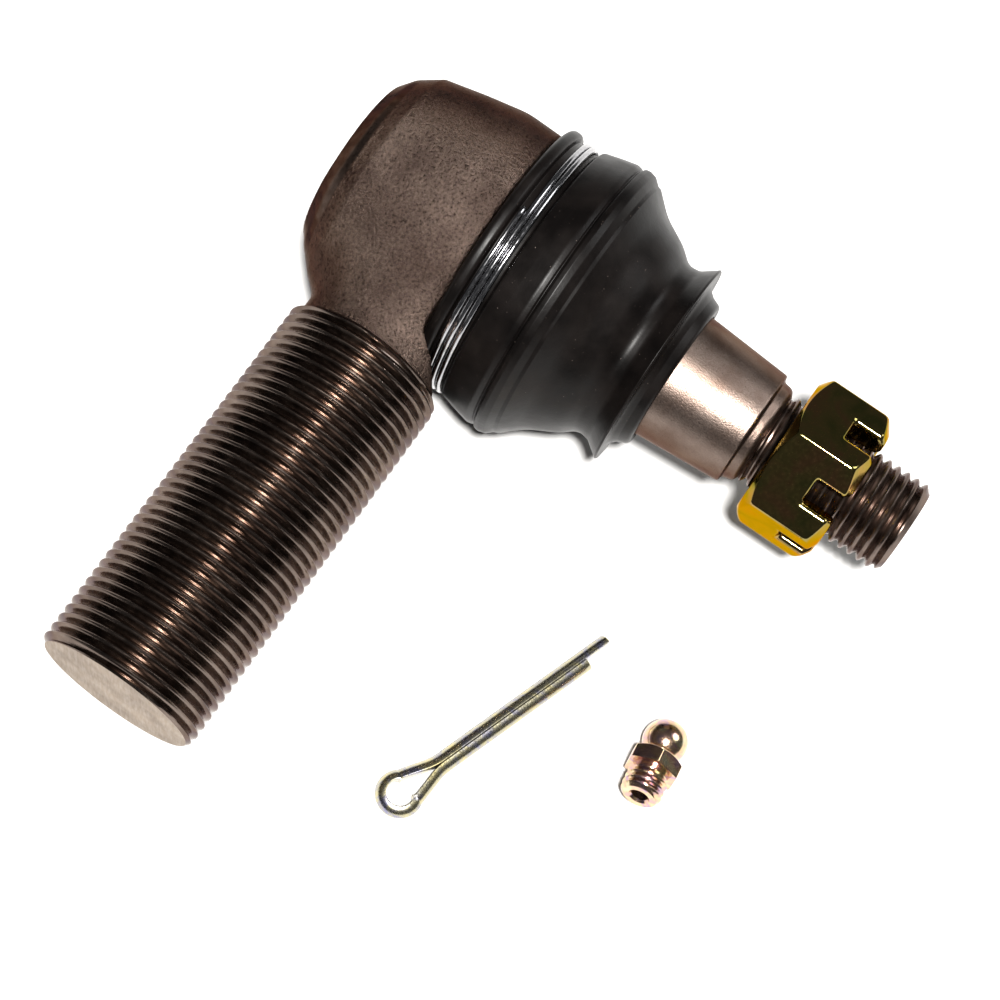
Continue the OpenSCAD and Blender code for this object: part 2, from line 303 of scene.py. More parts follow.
def outline_distance(outline, cell=0.08, margin=3.0):
    """Signed distance to a closed outline in a plane, read from a fine table."""
    pts = np.array(outline, float)
    low, high = pts.min(0) - margin, pts.max(0) + margin
    us, vs = (np.arange(low[i], high[i] + cell, cell) for i in range(2))
    u, v = np.meshgrid(us, vs, indexing="ij")
    best, inside = np.full(u.shape, 1e9), np.zeros(u.shape, bool)
    for a, b in zip(pts, np.roll(pts, -1, 0)):
        edge = b - a
        length = edge @ edge
        if length < 1e-12:
            continue
        t = np.clip(((u - a[0]) * edge[0] + (v - a[1]) * edge[1]) / length, 0, 1)
        best = np.minimum(best, (u - a[0] - t * edge[0]) ** 2 + (v - a[1] - t * edge[1]) ** 2)
        crosses = (a[1] > v) != (b[1] > v)
        inside ^= crosses & (u < a[0] + (v - a[1]) * edge[0] / (edge[1] if edge[1] else 1))
    table = np.where(inside, -1, 1) * np.sqrt(best)

    def read(p, q):
        i = np.clip((p - low[0]) / cell, 0, len(us) - 1.001)
        k = np.clip((q - low[1]) / cell, 0, len(vs) - 1.001)
        i0, k0 = i.astype(int), k.astype(int)
        fi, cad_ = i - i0, k - k0
        near = table[i0, k0] * (1 - fi) + table[i0 + 1, k0] * fi
        far = table[i0, k0 + 1] * (1 - fi) + table[i0 + 1, k0 + 1] * fi
        return near * (1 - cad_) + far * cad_

    return read


def blend_union(a, b, width):
    """Union of two distances with a fillet about as wide as width."""
    h = np.clip(0.5 + 0.5 * (b - a) / width, 0, 1)
    return b * (1 - h) + a * h - width * h * (1 - h)


def blend_cut(a, tool, width):
    """a with tool cut away, its edge rounded by width."""
    return -blend_union(-a, tool, width)


def skin(name, field, low, high, cell, sharp=50):
    """Closed mesh of the surface where field(x, y, z) is zero, by surface nets pulled onto it."""
    axes = [np.arange(low[i], high[i] + cell, cell) for i in range(3)]
    value = field(*np.meshgrid(*axes, indexing="ij"))
    inside = value < 0
    corners = [(i, j, k) for i in (0, 1) for j in (0, 1) for k in (0, 1)]
    nx, ny, nz = (n - 1 for n in value.shape)
    total = sum(inside[i:i + nx, j:j + ny, k:k + nz].astype(np.int8) for i, j, k in corners)
    cells = np.argwhere((total > 0) & (total < 8))
    index = np.full((nx, ny, nz), -1, np.int64)
    index[tuple(cells.T)] = np.arange(len(cells))
    at = {c: value[tuple((cells + c).T)] for c in corners}
    place, count = np.zeros((len(cells), 3)), np.zeros(len(cells))
    for a in corners:
        for axis in range(3):
            if a[axis]:
                continue
            b = tuple(1 if n == axis else a[n] for n in range(3))
            cross = (at[a] < 0) != (at[b] < 0)
            t = at[a] / np.where(cross, at[a] - at[b], 1)
            point = np.array(a, float) + t[:, None] * (np.array(b) - np.array(a))
            place += np.where(cross[:, None], point, 0)
            count += cross
    verts = np.array(low) + (cells + place / count[:, None]) * cell
    step, pulls, least_slope = cell * 0.2, 3, 0.2
    for _ in range(pulls):
        here = field(*verts.T)
        slope = np.stack([(field(*(verts + step * np.eye(3)[n]).T) - field(*(verts - step * np.eye(3)[n]).T))
                          / (2 * step) for n in range(3)], 1)
        move = here[:, None] * slope / np.maximum((slope ** 2).sum(1), least_slope)[:, None]
        verts -= np.clip(move, -cell / 2, cell / 2)
    faces = []
    for axis in range(3):
        u, v = (axis + 1) % 3, (axis + 2) % 3
        ahead = np.zeros(3, int)
        ahead[axis] = 1
        shape = [n - (1 if i == axis else 0) for i, n in enumerate(value.shape)]
        a = inside[:shape[0], :shape[1], :shape[2]]
        b = inside[ahead[0]:, ahead[1]:, ahead[2]:]
        for edge, flip in ((a & ~b, False), (~a & b, True)):
            spots = np.argwhere(edge)
            spots = spots[(spots[:, u] > 0) & (spots[:, v] > 0)]
            ring = []
            for du, dv in ((-1, -1), (0, -1), (0, 0), (-1, 0)):
                shift = np.zeros(3, int)
                shift[u], shift[v] = du, dv
                ring.append(index[tuple((spots + shift).T)])
            quad = np.stack(ring[::-1] if flip else ring, 1)
            faces += quad.tolist()
    mesh = bpy.data.meshes.new(name)
    mesh.from_pydata((verts * MM).tolist(), [], faces)
    obj = bpy.data.objects.new(name, mesh)
    bpy.context.scene.collection.objects.link(obj)
    smooth(obj, sharp)
    return obj


def fit_inside(obj, node):
    """Keeps a shape's last thousandths inside the box of the CAD node that it stands for."""
    low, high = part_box(node)
    co = np.array([v.co for v in obj.data.vertices])
    co = np.clip(co, np.array(low), np.array(high))
    obj.data.vertices.foreach_set("co", co.astype(np.float32).ravel())
    obj.data.update()


def place_piece(obj, node, body, *materials):
    """obj stands for a CAD node, moves with a body and takes its materials."""
    obj.data.materials.clear()
    for material in materials:
        obj.data.materials.append(material)
    fit_inside(obj, node)
    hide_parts(node)
    if body:
        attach(obj, body)
    return obj


# ---------------------------------------------------------------- material tools


def new_material(name, metallic, roughness):
    material = bpy.data.materials.new(name)
    material.use_nodes = True
    shader = material.node_tree.nodes["Principled BSDF"]
    shader.inputs["Metallic"].default_value = metallic
    shader.inputs["Roughness"].default_value = roughness
    return material


def oil(material, weight, roughness):
    """Thin film of oil, whose highlights are white."""
    shader = material.node_tree.nodes["Principled BSDF"]
    shader.inputs["Coat Weight"].default_value = weight
    shader.inputs["Coat Roughness"].default_value = roughness


def glance(material, colour):
    """Colour of a metal's reflections at a flat angle."""
    material.node_tree.nodes["Principled BSDF"].inputs["Specular Tint"].default_value = (*colour, 1)


def object_coords(material, stretch=(1, 1, 1)):
    """Place on the object, in millimetres, stretched along its axes."""
    tree = material.node_tree
    where = tree.nodes.new("ShaderNodeTexCoord")
    scale = tree.nodes.new("ShaderNodeMapping")
    scale.inputs["Scale"].default_value = [s / MM for s in stretch]
    tree.links.new(where.outputs["Object"], scale.inputs["Vector"])
    return scale.outputs["Vector"]


def height_along(material):
    """Place along the object's Y axis, in millimetres."""
    tree = material.node_tree
    split = tree.nodes.new("ShaderNodeSeparateXYZ")
    tree.links.new(object_coords(material), split.inputs["Vector"])
    return split.outputs["Y"]


def noise(material, size, detail=3, stretch=(1, 1, 1), rough=0.55, warp=0.0):
    """Noise whose features are about size millimetres across."""
    tree = material.node_tree
    node = tree.nodes.new("ShaderNodeTexNoise")
    node.inputs["Scale"].default_value = 1 / size
    node.inputs["Detail"].default_value = detail
    node.inputs["Roughness"].default_value = rough
    node.inputs["Distortion"].default_value = warp
    tree.links.new(object_coords(material, stretch), node.inputs["Vector"])
    return node.outputs["Fac"]


def ramp(material, value, *stops):
    """Colour from a value, through (position, colour) stops."""
    tree = material.node_tree
    node = tree.nodes.new("ShaderNodeValToRGB")
    elements = node.color_ramp.elements
    while len(elements) < len(stops):
        elements.new(0.5)
    for element, (position, colour) in zip(elements, stops):
        element.position = position
        element.color = (*colour, 1)
    tree.links.new(value, node.inputs["Fac"])
    return node.outputs["Color"]


def span(material, value, low, high, start=0.3, end=0.7):
    """Value carried over from start..end to low..high."""
    tree = material.node_tree
    node = tree.nodes.new("ShaderNodeMapRange")
    node.inputs["From Min"].default_value = start
    node.inputs["From Max"].default_value = end
    node.inputs["To Min"].default_value = low
    node.inputs["To Max"].default_value = high
    tree.links.new(value, node.inputs["Value"])
    return node.outputs["Result"]


def mix(material, amount, first, second, kind="MIX"):
    """Two colours mixed; amount is a number or a socket."""
    tree = material.node_tree
    node = tree.nodes.new("ShaderNodeMix")
    node.data_type = "RGBA"
    node.blend_type = kind
    for socket, value in ((node.inputs[0], amount), (node.inputs[6], first), (node.inputs[7], second)):
        if isinstance(value, bpy.types.NodeSocket):
            tree.links.new(value, socket)
        else:
            socket.default_value = value
    return node.outputs[2]


def bump(material, height, depth, strength=1.0, under=None):
    """Surface relief from a height, depth in millimetres, laid over another if given."""
    tree = material.node_tree
    node = tree.nodes.new("ShaderNodeBump")
    node.inputs["Strength"].default_value = strength
    node.inputs["Distance"].default_value = depth * MM
    tree.links.new(height, node.inputs["Height"])
    if under is not None:
        tree.links.new(under, node.inputs["Normal"])
    return node.outputs["Normal"]


def use(material, **sockets):
    """Links values to the shader's sockets, named with _ for a space."""
    shader = material.node_tree.nodes["Principled BSDF"]
    for name, value in sockets.items():
        material.node_tree.links.new(value, shader.inputs[name.replace("_", " ")])
    return material


# ---------------------------------------------------------------- materials

BROWN_GLANCE = (0.3, 0.22, 0.17)


def forging_material():
    """Dark brown scale with a cast grain that sparkles, and a smoother band at the rolled rim, painted darker
    as shade where the rim faces away from the light.
    """
    m = new_material("forging_scale", 0.95, 0.4)
    glance(m, BROWN_GLANCE)
    rim_start, rim_edge = SOCKET_BACK + 2.6, 0.35
    level = (0.5, 0.5, 0.5, 1)
    # rim marks the rim band: it smooths the band's relief, which is the rim's own finish, and darkens the
    # band's colour as painted shade
    rim = span(m, height_along(m), 1, 0, rim_start, rim_start + rim_edge)
    patch = noise(m, 9, 2)
    grain = noise(m, 0.42, 4, rough=0.75)
    base = ramp(m, patch, (0.35, (0.085, 0.06, 0.05)), (0.62, (0.165, 0.122, 0.102)))
    fleck = ramp(m, grain, (0.42, (0.22, 0.2, 0.19)), (0.66, (1, 0.97, 0.94)))
    scale = mix(m, 0.75, base, fleck, "MULTIPLY")
    # Painted shade: the rim band's darker colour stands for shade where the rim faces away from the light
    rim_painted_shade = ramp(m, noise(m, 1.4, 3), (0.35, (0.05, 0.036, 0.03)), (0.65, (0.075, 0.055, 0.047)))
    relief = bump(m, noise(m, 3.5, 2), 0.25, 0.5)
    relief = bump(m, mix(m, rim, grain, level), 0.26, 1.0, relief)
    return use(m, Base_Color=mix(m, rim, scale, rim_painted_shade), Roughness=span(m, grain, 0.24, 0.38), Normal=relief)


def shank_thread_material():
    """Rolled thread, oiled and browned."""
    m = new_material("shank_thread_steel", 1.0, 0.3)
    oil(m, 0.5, 0.15)
    glance(m, BROWN_GLANCE)
    patch = noise(m, 6, 3)
    streak = noise(m, 0.5, 3, stretch=(1, 0.25, 0.25))
    base = ramp(m, patch, (0.35, (0.1, 0.073, 0.06)), (0.65, (0.18, 0.14, 0.118)))
    worn = ramp(m, streak, (0.35, (0.6, 0.57, 0.55)), (0.65, (1, 1, 1)))
    return use(m, Base_Color=mix(m, 0.7, base, worn, "MULTIPLY"),
               Roughness=span(m, streak, 0.17, 0.3), Normal=bump(m, streak, 0.02, 0.5))


def shank_end_material():
    """Sawn and faced end, pale, with faint arcs and stains."""
    m = new_material("shank_end_face", 0.85, 0.5)
    stain = noise(m, 5, 4)
    arcs = noise(m, 0.35, 2, stretch=(1, 1, 0.12))
    base = ramp(m, stain, (0.35, (0.19, 0.14, 0.098)), (0.65, (0.3, 0.235, 0.175)))
    return use(m, Base_Color=base, Roughness=span(m, arcs, 0.42, 0.6), Normal=bump(m, arcs, 0.03, 0.4))


def cover_material():
    """Phosphated pressed steel."""
    m = new_material("cover_phosphate", 0.8, 0.45)
    grain = noise(m, 0.25, 3)
    base = ramp(m, noise(m, 4, 3), (0.35, (0.06, 0.055, 0.05)), (0.65, (0.12, 0.11, 0.1)))
    return use(m, Base_Color=base, Roughness=span(m, grain, 0.38, 0.58), Normal=bump(m, grain, 0.03, 0.6))


def gasket_material():
    """Compressed fibre gasket."""
    m = new_material("gasket_fibre", 0.0, 0.75)
    fibre = noise(m, 0.3, 4, stretch=(1, 1, 0.3))
    base = ramp(m, fibre, (0.35, (0.03, 0.03, 0.03)), (0.65, (0.07, 0.07, 0.065)))
    return use(m, Base_Color=base, Normal=bump(m, fibre, 0.04, 0.6))


def spring_material():
    """Blued spring steel."""
    m = new_material("spring_steel", 1.0, 0.3)
    haze = noise(m, 1.2, 3)
    base = ramp(m, haze, (0.35, (0.2, 0.2, 0.22)), (0.65, (0.34, 0.32, 0.3)))
    return use(m, Base_Color=base, Roughness=span(m, haze, 0.22, 0.4),
               Normal=bump(m, noise(m, 0.15, 2), 0.01, 0.5))


def bearing_material():
    """Oil-filled bearing plastic, off-white."""
    m = new_material("bearing_plastic", 0.0, 0.4)
    mottle = noise(m, 0.8, 3)
    base = ramp(m, mottle, (0.35, (0.5, 0.43, 0.3)), (0.65, (0.6, 0.53, 0.4)))
    return use(m, Base_Color=base, Roughness=span(m, mottle, 0.33, 0.5),
               Normal=bump(m, noise(m, 0.2, 2), 0.01, 0.5))


def stud_material():
    """Satin ground steel of the taper, bronzed, with fine grain."""
    m = new_material("stud_satin_steel", 1.0, 0.36)
    oil(m, 0.15, 0.25)
    glance(m, BROWN_GLANCE)
    grain = noise(m, 0.22, 3, rough=0.7)
    patch = noise(m, 5, 3)
    base = ramp(m, patch, (0.35, (0.15, 0.105, 0.085)), (0.65, (0.22, 0.17, 0.145)))
    fleck = ramp(m, grain, (0.35, (0.72, 0.7, 0.68)), (0.65, (1, 1, 1)))
    return use(m, Base_Color=mix(m, 0.8, base, fleck, "MULTIPLY"),
               Roughness=span(m, grain, 0.27, 0.4), Normal=bump(m, grain, 0.05, 0.8))


def stud_thread_material():
    """Rolled thread of the stud, dark brown."""
    m = new_material("stud_thread_steel", 1.0, 0.3)
    oil(m, 0.5, 0.15)
    glance(m, BROWN_GLANCE)
    streak = noise(m, 0.5, 3, stretch=(0.25, 1, 0.25))
    base = ramp(m, noise(m, 3, 3), (0.35, (0.1, 0.072, 0.06)), (0.65, (0.17, 0.13, 0.11)))
    return use(m, Base_Color=base, Roughness=span(m, streak, 0.22, 0.4), Normal=bump(m, streak, 0.02, 0.5))


def rubber_material():
    """Black moulded rubber, a little oily, with dust specks."""
    m = new_material("boot_rubber", 0.0, 0.45)
    m.node_tree.nodes["Principled BSDF"].inputs["Specular IOR Level"].default_value = 0.13
    film = noise(m, 5, 3)
    fine = noise(m, 0.3, 3)
    speck = noise(m, 0.28, 1, rough=0.2)
    base = ramp(m, film, (0.35, (0.002, 0.0016, 0.0015)), (0.7, (0.005, 0.0038, 0.0034)))
    dust = ramp(m, speck, (0.8, (0, 0, 0)), (0.86, (0.1, 0.08, 0.07)))
    relief = bump(m, film, 0.12, 0.5)
    return use(m, Base_Color=mix(m, 1.0, base, dust, "ADD"), Roughness=span(m, film, 0.3, 0.44),
               Normal=bump(m, fine, 0.02, 0.5, relief))


def ring_material():
    """Bright drawn wire."""
    m = new_material("ring_bright_wire", 1.0, 0.2)
    draw = noise(m, 0.2, 2, stretch=(0.3, 1, 0.3))
    base = ramp(m, draw, (0.35, (0.3, 0.3, 0.31)), (0.65, (0.46, 0.46, 0.48)))
    return use(m, Base_Color=base, Roughness=span(m, draw, 0.1, 0.2), Normal=bump(m, draw, 0.01, 0.5))


def support_material():
    """Glass-filled black plastic."""
    m = new_material("support_plastic", 0.0, 0.5)
    fibre = noise(m, 0.3, 3)
    base = ramp(m, fibre, (0.35, (0.02, 0.02, 0.02)), (0.65, (0.035, 0.035, 0.035)))
    return use(m, Base_Color=base, Roughness=span(m, fibre, 0.42, 0.6), Normal=bump(m, fibre, 0.01, 0.5))


def nut_material():
    """Yellow zinc over glossy steel, olive to bronze."""
    m = new_material("nut_yellow_zinc", 1.0, 0.1)
    glance(m, (0.75, 0.5, 0.2))
    tint = noise(m, 4.5, 2, warp=0.6)
    haze = noise(m, 0.5, 3)
    base = ramp(m, tint, (0.3, (0.2, 0.19, 0.06)), (0.5, (0.3, 0.23, 0.08)), (0.68, (0.36, 0.2, 0.09)))
    return use(m, Base_Color=base, Roughness=span(m, haze, 0.07, 0.15),
               Normal=bump(m, noise(m, 0.9, 2), 0.012, 0.3))


def pin_material():
    """Pale zinc with yellow and blue tints, drawn along the wire."""
    m = new_material("pin_zinc", 1.0, 0.2)
    tint = noise(m, 2.2, 2, warp=0.8)
    draw = noise(m, 0.16, 2)
    base = ramp(m, tint, (0.3, (0.27, 0.27, 0.38)), (0.5, (0.46, 0.43, 0.3)), (0.7, (0.58, 0.5, 0.25)))
    return use(m, Base_Color=base, Roughness=span(m, draw, 0.2, 0.32), Normal=bump(m, draw, 0.008, 0.4))


def fitting_material():
    """Iridescent yellow zinc: gold, rose and violet."""
    m = new_material("fitting_zinc", 1.0, 0.17)
    tint = noise(m, 1.8, 2, warp=1.0)
    base = ramp(m, tint, (0.3, (0.42, 0.3, 0.4)), (0.45, (0.6, 0.38, 0.3)), (0.58, (0.7, 0.52, 0.3)),
                (0.72, (0.6, 0.56, 0.4)))
    return use(m, Base_Color=base, Roughness=span(m, noise(m, 0.2, 2), 0.12, 0.26),
               Normal=bump(m, noise(m, 0.4, 2), 0.015, 0.4))


def floor_material():
    """Plain pale card."""
    m = new_material("floor_card", 0.0, 0.9)
    return use(m, Base_Color=ramp(m, noise(m, 40, 2), (0.3, (0.59, 0.59, 0.59)), (0.7, (0.61, 0.61, 0.61))))


# ---------------------------------------------------------------- pieces


def socket_outline():
    """Outer half section of the socket: rolled rim, drafted side, shoulder, nose."""
    return rounded([
        (0, SOCKET_BACK), (RIM_LIP_R + 1.6, SOCKET_BACK, 0.6), (14.3, SOCKET_BACK + 1.7, 2.5),
        (DRAFT_R - 0.1, DRAFT_BACK - 0.5, 0.8), (DRAFT_R + 1.25, -7, 14), (SOCKET_R - 0.05, -1, 12),
        (SOCKET_R - 0.2, SHOULDER, 0.8), (NOSE_R, SHOULDER, 0.4), (NOSE_R, NOSE_END, 0.5), (0, NOSE_END)])


def neck_outline():
    """Half section of the neck, as (x, radius)."""
    inside, root, core_r = 8, THREAD_START - 1.3, SHANK_R - 0.95
    return rounded([
        (inside, 0), (inside, NECK_R + 3.4), (15.5, NECK_R + 2.6, 6), (20.2, NECK_R, 5), (root, NECK_R, 0.3),
        (THREAD_START + 0.4, core_r, 0.2), (NECK_END, core_r), (NECK_END, 0)])


def relief_outline():
    """Room turned into the neck's side for the boot's bead, as (radius, y)."""
    floor, out, top = SHOULDER + 0.1, THREAD_START + 0.2, 17
    return rounded([
        (NOSE_R - 0.2, floor), (BEAD_R + 0.7, floor, 0.8), (BEAD_R + 1.0, 8.4, 0.8),
        (out, SHANK_R - 0.2), (out, top), (0, top), (0, NOSE_END - 0.1)])


def forging_field():
    """Distance to the outside of the forging, up to its thread."""
    socket, neck, relief = map(outline_distance, (socket_outline(), neck_outline(), relief_outline()))
    relief_edge, arm_start = 0.5, 6
    fade_end, fade_length, least = SHOULDER + 1.5, 3, 0.08

    def field(x, y, z):
        about_stud = np.hypot(x, z)
        body = socket(about_stud, y)
        arm = blend_cut(neck(x, np.hypot(y, z)), relief(about_stud, y), relief_edge)
        arm = np.where(x < arm_start, np.maximum(arm, arm_start - x), arm)
        return blend_union(body, arm, FORGE_BLEND * np.clip((fade_end - y) / fade_length, least, 1))

    return field


def cavity_outline():
    """Half section of the room inside the socket: rim, cover seat, bore, flared mouth."""
    past, chamfer, seat_front = 2, 0.5, COVER_FRONT + GASKET_T
    return rounded([
        (0, SOCKET_BACK - past), (RIM_LIP_R + chamfer, SOCKET_BACK - past),
        (RIM_LIP_R + chamfer, SOCKET_BACK - 0.01), (RIM_LIP_R, SOCKET_BACK + chamfer),
        (RIM_LIP_R, SOCKET_BACK + RIM_LIP_T), (COVER_R, SOCKET_BACK + RIM_LIP_T), (COVER_R, seat_front),
        (BORE_R, seat_front), (BORE_R, BORE_FRONT), (MOUTH_R, BORE_FRONT), (MOUTH_R, BORE_FRONT + 0.6),
        (MOUTH_OUT_R, NOSE_END - 0.4), (MOUTH_OUT_R + chamfer, NOSE_END + 0.1),
        (MOUTH_OUT_R + chamfer, NOSE_END + past), (0, NOSE_END + past)])


def paint_shank(obj):
    """Gives the thread and the sawn end their own material slots."""
    face_x = (SHANK_END - 0.05) * MM
    for face in obj.data.polygons:
        centre = face.center
        if centre.x > face_x and face.normal.x > 0.95:
            face.material_index = 2
        elif centre.x > (THREAD_START + 0.3) * MM:
            face.material_index = 1


def make_forging():
    """Socket and neck as one skin, joined to the threaded shank and bored out."""
    cell = 0.3
    reach = SOCKET_R + 1.2
    low, high = (-reach, SOCKET_BACK - 1, -reach), (NECK_END + 1, NOSE_END + 3, reach)
    obj = skin("forging", forging_field(), low, high, cell)
    screw = thread("shank_screw", SHANK_R, SHANK_PITCH, SHANK_THREAD_DEPTH, THREAD_START, SHANK_END,
                   chamfer=0.75, run_out=1.2, steps=128)
    combine(obj, screw, "UNION")
    combine(obj, turned("cavity", cavity_outline()), "DIFFERENCE")
    smooth(obj, 40)
    place_piece(obj, "socket_housing", "housing",
                forging_material(), shank_thread_material(), shank_end_material())
    paint_shank(obj)


def make_cover():
    """Pressed cover with the boss of the grease port, tapped for the fitting."""
    boss_back, boss_r, edge_r = SOCKET_BACK + 0.5, 5.5, COVER_R - 0.1
    cover_back = SOCKET_BACK + RIM_LIP_T
    tap_depth, past = 0.54, 1.5
    outline = rounded([(0, boss_back), (boss_r, boss_back, 0.5), (boss_r + 0.2, cover_back, 0.3),
                       (edge_r, cover_back, 0.2), (edge_r, COVER_FRONT, 0.2), (0, COVER_FRONT)])
    obj = turned("grease_port_cover", outline, 160)
    tap = thread("tap", FITTING_THREAD_R, FITTING_PITCH, tap_depth, boss_back - past, COVER_FRONT + past,
                 chamfer=tap_depth, steps=64)
    combine(obj, turn_to_y(tap), "DIFFERENCE")
    place_piece(obj, "end_cover", "housing", cover_material())


def taper_r(y):
    """Radius of the stud's taper at a height."""
    return TAPER_SMALL_R + (TAPER_END - y) * TAPER_SLOPE


def stud_outline():
    """Half section of the stud: ball, neck, taper, rounded step and thread relief."""
    ball_top = math.degrees(math.asin(STUD_NECK_R / BALL_R))
    ball_bottom = math.degrees(math.asin(-BALL_FLAT / BALL_R))
    ball = arc((0, 0), BALL_R, -ball_bottom, 90 - ball_top - 3, 60)
    relief_r, relief_end = STUD_R - 0.75, TAPER_END + 5
    rest = rounded([
        (0, BALL_FLAT), ball[-1], (STUD_NECK_R, ball[-1][1] + 1.4, 2.2), (STUD_NECK_R, 17, 8),
        (STUD_NECK_R + 0.5, 20, 8), (taper_r(TAPER_START) - 0.5, TAPER_START - 1.2, 1.5),
        (taper_r(TAPER_START), TAPER_START, 1), (TAPER_SMALL_R + 0.02, TAPER_END - 0.1, 0.4),
        (STUD_R + 0.75, TAPER_END + 0.1, 0.4), (STUD_R + 0.5, TAPER_END + 1.6, 1.0),
        (relief_r, TAPER_END + 2.2, 0.3), (relief_r, relief_end), (0, relief_end)])
    return [rest[0]] + ball[:-1] + rest[1:]


def make_stud():
    """Stud turned in one piece, threaded and drilled across for the cotter pin."""
    obj = turned("ball_stud_body", stud_outline(), 192, sharp=25)
    screw = thread("stud_screw", STUD_R, STUD_PITCH, STUD_THREAD_DEPTH, TAPER_END + 1.5, STUD_END,
                   chamfer=1.0)
    combine(obj, turn_to_y(screw), "UNION")
    reach = STUD_R + 2
    drill = turned("drill", [(0, -reach), (COTTER_HOLE_R, -reach), (COTTER_HOLE_R, reach), (0, reach)], 48)
    drill.data.transform(Matrix.Translation((0, COTTER_HOLE_Y * MM, 0))
                         @ Matrix.Rotation(math.radians(NUT_TURN + 90), 4, "Y")
                         @ Matrix.Rotation(math.radians(90), 4, "X"))
    combine(obj, drill, "DIFFERENCE")
    place_piece(obj, "ball_stud", "stud", stud_material(), stud_thread_material())
    for face in obj.data.polygons:
        if face.center.y > (TAPER_END + 2) * MM:
            face.material_index = 1
    smooth(obj, 30)


def hexagon(u, v, flat_r, edge):
    """Distance to a hexagon with a corner along +v, its corners rounded by edge."""
    far = np.full(np.broadcast(u, v).shape, -1e9)
    for k in range(3):
        a = math.radians(60 * k)
        side = np.abs(u * math.cos(a) + v * math.sin(a)) - flat_r
        far = np.maximum(far, side) if edge == 0 else -blend_union(-far, -side, edge * 2)
    return far


def nut_field():
    """Castle nut: hexagon chamfered at both ends, bored, with six round-edged slots."""
    corner_r = NUT_FLAT_R / math.cos(math.radians(30)) + 0.15
    turned_shape = outline_distance(rounded([
        (0, NUT_BASE), (NUT_FLAT_R - 0.5, NUT_BASE, 0.3), (corner_r, NUT_BASE + 1.6, 0.6),
        (corner_r, NUT_END - 1.8, 1.6), (NUT_FLAT_R - 1.0, NUT_END, 1.1), (0, NUT_END)]))
    bore_r, lead, steep = STUD_R + 0.12, 0.8, 0.9
    hex_edge, end_edge, bore_edge, floor_edge, slot_edge = 0.16, 0.25, 0.3, 0.6, 0.9
    turn = math.radians(NUT_TURN)

    def field(x, y, z):
        u = x * math.cos(turn) - z * math.sin(turn)
        v = x * math.sin(turn) + z * math.cos(turn)
        r = np.hypot(x, z)
        block = blend_cut(hexagon(u, v, NUT_FLAT_R, hex_edge), -turned_shape(r, y), end_edge)
        bore = bore_r - r + np.maximum(0, lead - np.minimum(y - NUT_BASE, NUT_END - y)) * steep
        block = blend_cut(block, -bore * steep, bore_edge)
        slot = np.full(r.shape, 1e9)
        for k in range(3):
            a = math.radians(60 * k)
            across = np.abs(u * math.sin(a) - v * math.cos(a)) - SLOT_W / 2
            floor = NUT_END - SLOT_DEPTH - y
            slot = np.minimum(slot, -blend_union(-across, -floor, floor_edge))
        return blend_cut(block, slot, slot_edge)

    return field


def make_nut():
    cell = 0.17
    reach = NUT_FLAT_R / math.cos(math.radians(30)) + 0.8
    low, high = (-reach, NUT_BASE - 0.6, -reach), (reach, NUT_END + 0.6, reach)
    obj = skin("castle_nut_body", nut_field(), low, high, cell)
    place_piece(obj, "castle_nut", "nut", nut_material())


def boot_outline():
    """Half section of the rubber boot, outside from bead to collar, then inside back to the bead."""
    nose, wall, widest = NOSE_R + 0.05, 1.9, BOOT_R - 0.02
    band_r, crease = widest - 0.35, 0.3
    play = 0.12
    inner_r = taper_r(TAPER_START) + 0.5
    pocket_r, pocket_start, pocket_end = SUPPORT_R + 0.05, SUPPORT_START - 0.05, SUPPORT_END + 0.05
    return rounded([
        (nose, BEAD_START, 0.1), (BEAD_R, BEAD_START, 0.9), (BEAD_R - 0.1, GROOVE_START, 0.7),
        (GROOVE_R, GROOVE_START + 0.15, 0.2), (GROOVE_R, GROOVE_END - 0.3, 0.3),
        (GROOVE_R + 0.9, GROOVE_END, 0.5), (widest - 0.75, 13.2, 3.5), (widest - 0.2, 15.6, 1.2),
        (band_r, 16.3, 0.2), (band_r - crease, 16.6, 0.12), (widest - 0.1, 16.95, 0.2),
        (widest, 17.6, 0.5), (widest - 0.25, 18.5, 0.6), (widest - 1.1, 19.5, 0.5),
        (widest - 1.25, 20.0, 0.3), (widest - 3.9, 22.9, 9), (BOOT_NECK_R + 1.8, 26.9, 9),
        (BOOT_NECK_R, BOOT_NECK_Y - 0.2, 2.2), (BOOT_NECK_R + 0.2, BOOT_NECK_Y + 1.5, 1.5),
        (LIP_R - 0.35, LIP_Y - 0.35, 1.2), (LIP_R, LIP_Y + 0.05, 0.1), (LIP_R - 0.15, LIP_Y + 0.3, 0.1),
        (COLLAR_R + 0.9, LIP_Y + 0.3, 1.4), (COLLAR_R, LIP_Y + 1.4, 0.6), (COLLAR_END_R, BOOT_END, 0.8),
        (taper_r(BOOT_END) + play, BOOT_END, 0.25), (taper_r(pocket_end) + play, pocket_end),
        (pocket_r, pocket_end), (pocket_r, pocket_start), (inner_r, pocket_start),
        (inner_r, pocket_start - 1.3, 0.3),
        (BOOT_NECK_R - wall, BOOT_NECK_Y - 0.8, 2), (widest - 1.3 - wall, 19, 2), (widest - wall, 16.5, 2),
        (nose + 1.6, NOSE_END + 0.8, 0.8), (nose, NOSE_END + 0.4, 0.2)], steps=8)


def make_boot():
    """The rubber boot, turned in one piece, attached to no body and left where it is drawn."""
    obj = turned("dust_boot_rubber", boot_outline(), 224, sharp=60)
    place_piece(obj, "dust_boot", None, rubber_material())
    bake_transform(obj)


